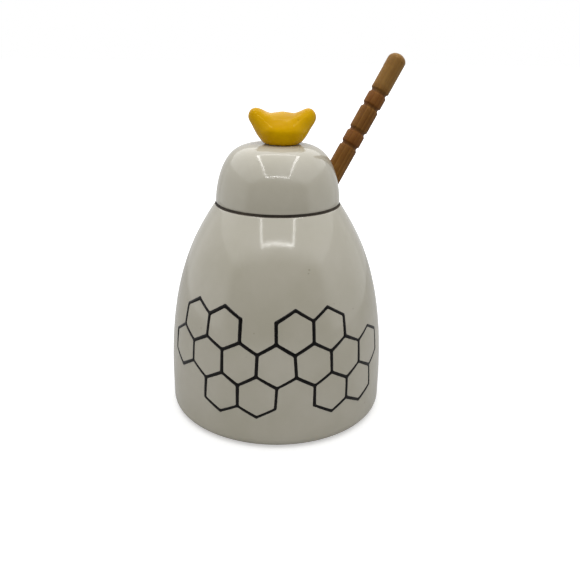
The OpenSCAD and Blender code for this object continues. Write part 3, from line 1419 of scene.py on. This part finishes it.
@dataclass
class LightTent:
    """A small photo tent: pale floor, cloth, a frame of light strips and a soft lamp above."""

    front: float = -0.255
    rear: float = 0.051
    front_half: float = 0.115
    rear_half: float = 0.075
    ceiling: float = 0.3
    front_strip_w: float = 0.009
    strip_w: float = 0.013
    soft_size: float = 0.9
    soft_height: float = 0.9
    soft_radiance: float = 1.7
    fade_start: float = -0.26
    fade_end: float = -0.4
    ambient: float = 0.5
    room: float = 0.5
    floor_size: float = 12.0
    floor_bounce: float = 0.6
    floor_tone: float = 0.8
    floor_roughness: float = 0.9
    glow_reach: Span = (0.08, 0.45)
    glow_near: float = 0.45
    cloth_gap: float = 0.02

    def build(self) -> None:
        """Hang the lamps and the cloth, and lay the floor and the surroundings."""
        self._strips()
        size = (self.soft_size, self.soft_size)
        soft = self._lamp("soft_lamp", (0, 0, self.soft_height), size, self.soft_radiance)
        soft.visible_glossy = False
        self._cloth()
        self._floor()
        self._surroundings()

    def _strips(self) -> None:
        """Hang the light strips as a frame that the glaze mirrors."""
        wide, back = 2 * self.front_half, 2 * self.rear_half
        slim, thin = self.strip_w, self.front_strip_w
        hung = [
            self._lamp("front_strip", (0, self.front, self.ceiling), (wide, thin), Strip.FRONT.value),
            self._lamp("rear_strip", (0, self.rear, self.ceiling), (back, slim), Strip.REAR.value),
        ]
        deep, drawn_in = self.rear - self.front, self.front_half - self.rear_half
        size = (slim, math.hypot(deep, drawn_in))
        for name, side in (("left_strip", -1), ("right_strip", 1)):
            x = side * (self.front_half + self.rear_half) / 2
            strip = self._lamp(name, (x, (self.front + self.rear) / 2, self.ceiling), size, Strip.SIDE.value)
            strip.rotation_euler.z = side * math.atan2(drawn_in, deep)
            hung.append(strip)
        for strip in hung:
            strip.visible_diffuse = False

    def _lamp(
        self, name: str, place: Sequence[float], size: Point, radiance: float
    ) -> bpy.types.Object:
        """Hang a flat lamp that faces down.

        Args:
            name: Its name.
            place: Its middle.
            size: Its width and depth.
            radiance: How bright it looks, where 1 is white.

        Returns:
            The lamp.
        """
        data = bpy.data.lights.new(name, "AREA")
        data.shape = "RECTANGLE"
        data.size, data.size_y = size
        data.energy = 4 * size[0] * size[1] * radiance
        lamp = bpy.data.objects.new(name, data)
        lamp.location = place
        bpy.context.scene.collection.objects.link(lamp)
        return lamp

    def _cloth(self) -> None:
        """Hang the ceiling and the walls, which only the glaze's reflections see."""
        middle = (self.front + self.rear) / 2
        room, top = self.room, self.ceiling + self.cloth_gap
        half, upright = top / 2, math.pi / 2
        panels = {
            "ceiling_cloth": (Tone.CEILING, (0, middle, top), (0, 0, 0), (room, room)),
            "left_cloth": (Tone.SIDE, (-room, middle, half), (0, upright, 0), (half, room)),
            "right_cloth": (Tone.SIDE, (room, middle, half), (0, upright, 0), (half, room)),
            "back_cloth": (Tone.BACK, (0, middle + room, half), (upright, 0, 0), (room, half)),
            "front_cloth": (Tone.FRONT, (0, middle - room, half), (upright, 0, 0), (room, half)),
        }
        for name, (tone, place, turn, reach) in panels.items():
            start_fresh()
            bpy.ops.mesh.primitive_plane_add(size=2, location=place, rotation=turn)
            panel = named(name)
            panel.scale = (*reach, 1)
            settle(panel)
            panel.data.materials.append(self._glow(name, tone))
            panel.visible_camera = panel.visible_diffuse = panel.visible_shadow = False

    def _glow(self, name: str, tone: Tone) -> bpy.types.Material:
        """Make glowing cloth that fades towards the open front of the tent.

        Args:
            name: Name of the material.
            tone: How bright the cloth is away from the front.

        Returns:
            The new material.
        """
        made = bpy.data.materials.new(name)
        made.use_nodes = True
        bench = Bench(made.node_tree)
        where = bench.add("TexCoord").outputs["Object"]
        back = bench.add("SeparateXYZ", {0: where}).outputs[1]
        level = bench.spread(back, self.fade_end, self.fade_start, Tone.FRONT.value, tone.value)
        glow = bench.add("Emission", {"Color": WHITE, "Strength": level})
        bench.feed(bench.tree.nodes["Material Output"], {"Surface": glow.outputs[0]})
        return made

    def _floor(self) -> None:
        """Lay the floor: pale to the camera, with the object's shadow, and pure white further out."""
        start_fresh()
        bpy.ops.mesh.primitive_plane_add(size=self.floor_size, location=(0, 0, 0))
        floor = named("tent_floor")
        made, bench, shader = new_material("tent_floor")
        seen = bench.add("LightPath").outputs["Is Camera Ray"]
        bounced, shown = ((*[tone] * 3, 1.0) for tone in (self.floor_bounce, self.floor_tone))
        tint = bench.blend(seen, bounced, shown)
        matt = {"Roughness": self.floor_roughness, "Specular IOR Level": 0.0}
        bench.feed(shader, {"Base Color": tint, **matt})
        where = bench.add("TexCoord").outputs["Object"]
        away = bench.add("VectorMath", {0: where}, operation="LENGTH").outputs["Value"]
        level = bench.spread(away, *self.glow_reach, to_low=self.glow_near)
        glow = bench.add("Emission", {"Color": WHITE, "Strength": level})
        both = bench.add("AddShader", {0: shader.outputs[0], 1: glow.outputs[0]})
        mixed = bench.add("MixShader", {0: seen, 1: shader.outputs[0], 2: both.outputs[0]})
        bench.feed(bench.tree.nodes["Material Output"], {"Surface": mixed.outputs[0]})
        floor.data.materials.append(made)

    def _surroundings(self) -> None:
        """White where they are seen or reflected, and softer as a light."""
        world = bpy.data.worlds.new("tent")
        world.use_nodes = True
        bpy.context.scene.world = world
        bench = Bench(world.node_tree)
        nodes = world.node_tree.nodes
        lit = nodes["Background"]
        bench.feed(lit, {"Color": WHITE, "Strength": self.ambient})
        white = bench.add("Background", {"Color": WHITE, "Strength": 1.0})
        path = bench.add("LightPath").outputs
        mirrored = bench.sums("MAXIMUM", path["Is Glossy Ray"], path["Is Transmission Ray"])
        seen = bench.sums("MAXIMUM", path["Is Camera Ray"], mirrored)
        mixed = bench.add("MixShader", {0: seen, 1: lit.outputs[0], 2: white.outputs[0]})
        world.node_tree.links.new(mixed.outputs[0], nodes["World Output"].inputs["Surface"])


@dataclass
class PhotoCamera:
    """The camera where the photograph was taken from."""

    distance: float = 321 * MM
    height: float = 183 * MM
    pitch: float = math.radians(20.85)
    yaw: float = math.radians(1.22)
    roll: float = math.radians(0.9)
    focal_px: float = 650.0
    frame_px: float = 580.0
    clip_start: float = 10 * MM

    def build(self) -> bpy.types.Object:
        """Set the camera up and return it."""
        data = bpy.data.cameras.new("photo_camera")
        data.lens = data.sensor_width * self.focal_px / self.frame_px
        data.clip_start = self.clip_start
        camera = bpy.data.objects.new("photo_camera", data)
        bpy.context.scene.collection.objects.link(camera)
        turned = Matrix.Rotation(-self.yaw, 4, "Z")
        tipped = turned @ Matrix.Rotation(math.pi / 2 - self.pitch, 4, "X")
        rolled = tipped @ Matrix.Rotation(self.roll, 4, "Z")
        camera.matrix_world = Matrix.Translation((0, -self.distance, self.height)) @ rolled
        bpy.context.scene.camera = camera
        return camera


def main() -> None:
    """Build the pot, its lid, knob and dipper, then the set, and note the sizes."""
    logging.basicConfig(level=logging.INFO, format="%(name)s: %(message)s")
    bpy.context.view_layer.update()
    effects = Effects()
    pot = PotShell()
    dipper = TurnedDipper(pot)
    lid = DomeLid(rim_h=pot.rim_h)
    pot.build(effects)
    HoneycombMotif().build(pot, effects)
    lid.build(dipper, effects)
    WingedKnob(lid_top=lid.top).build(effects)
    dipper.build(effects)
    LightTent().build()
    PhotoCamera().build()
    bpy.context.scene.view_settings.view_transform = "Standard"


if __name__ == "__main__":
    main()
